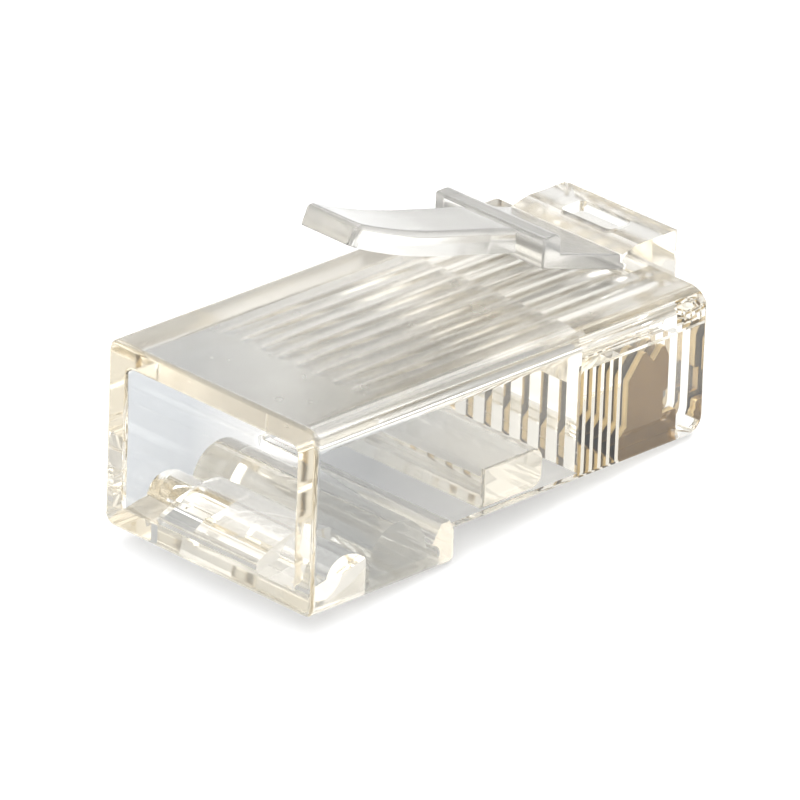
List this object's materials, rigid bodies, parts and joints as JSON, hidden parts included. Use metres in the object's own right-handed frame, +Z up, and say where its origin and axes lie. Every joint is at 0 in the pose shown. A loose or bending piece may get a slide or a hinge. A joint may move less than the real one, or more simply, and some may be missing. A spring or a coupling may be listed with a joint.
{
  "type": "modular plug",
  "caption": "Clear modular network cable plug with a sprung latch, gold contact blades in the nose and an open rear mouth that takes a round cable.",
  "frame": {"origin": "under the centre of the plug's box, on the bottom face of its rear section", "axes": "+Y towards the nose that goes into the jack, -Y towards the cable, +Z up to the latch side, X across the width"},
  "size_m": [0.0116, 0.0228, 0.0134],
  "materials": {
    "clear_housing": "clear moulded polycarbonate, polished, faint warm tint",
    "clear_latch": "clear moulded polycarbonate, polished, faint warm tint",
    "clear_anchor": "clear moulded polycarbonate, polished, faint warm tint",
    "gold_contact": "stamped phosphor bronze with a thin gold plating, brownish gold with pale cut edges"
  },
  "bodies": {
    "housing": {"housing": "clear_housing"},
    "latch": {"latch_lever": "clear_latch"},
    "jacket_anchor": {"jacket_anchor": "clear_anchor"},
    "conductor_anchor": {"conductor_anchor": "clear_anchor"},
    "contact_1": {"contact_1": "gold_contact"},
    "contact_2": {"contact_2": "gold_contact"},
    "contact_3": {"contact_3": "gold_contact"},
    "contact_4": {"contact_4": "gold_contact"},
    "contact_5": {"contact_5": "gold_contact"},
    "contact_6": {"contact_6": "gold_contact"},
    "contact_7": {"contact_7": "gold_contact"},
    "contact_8": {"contact_8": "gold_contact"}
  },
  "joints": [
    {"name": "latch_flex", "type": "hinge", "parent": "housing", "child": "latch", "pos_m": [0, 0.00805, 0.00839], "axis": [1, 0, 0], "range_deg": [0, 12], "stiffness_Nm_per_rad": 0.05},
    {"name": "jacket_anchor_crimp", "type": "hinge", "parent": "housing", "child": "jacket_anchor", "pos_m": [0, -0.00435, 0.0004], "axis": [-1, 0, 0], "range_deg": [0, 18]},
    {"name": "conductor_anchor_crimp", "type": "slide", "parent": "housing", "child": "conductor_anchor", "axis": [0, 0, 1], "range_m": [0, 0.0012]},
    {"name": "contact_1_crimp", "type": "slide", "parent": "housing", "child": "contact_1", "axis": [0, 0, 1], "range_m": [0, 0.00065]},
    {"name": "contact_2_crimp", "type": "slide", "parent": "housing", "child": "contact_2", "axis": [0, 0, 1], "range_m": [0, 0.00065]},
    {"name": "contact_3_crimp", "type": "slide", "parent": "housing", "child": "contact_3", "axis": [0, 0, 1], "range_m": [0, 0.00065]},
    {"name": "contact_4_crimp", "type": "slide", "parent": "housing", "child": "contact_4", "axis": [0, 0, 1], "range_m": [0, 0.00065]},
    {"name": "contact_5_crimp", "type": "slide", "parent": "housing", "child": "contact_5", "axis": [0, 0, 1], "range_m": [0, 0.00065]},
    {"name": "contact_6_crimp", "type": "slide", "parent": "housing", "child": "contact_6", "axis": [0, 0, 1], "range_m": [0, 0.00065]},
    {"name": "contact_7_crimp", "type": "slide", "parent": "housing", "child": "contact_7", "axis": [0, 0, 1], "range_m": [0, 0.00065]},
    {"name": "contact_8_crimp", "type": "slide", "parent": "housing", "child": "contact_8", "axis": [0, 0, 1], "range_m": [0, 0.00065]}
  ]
}
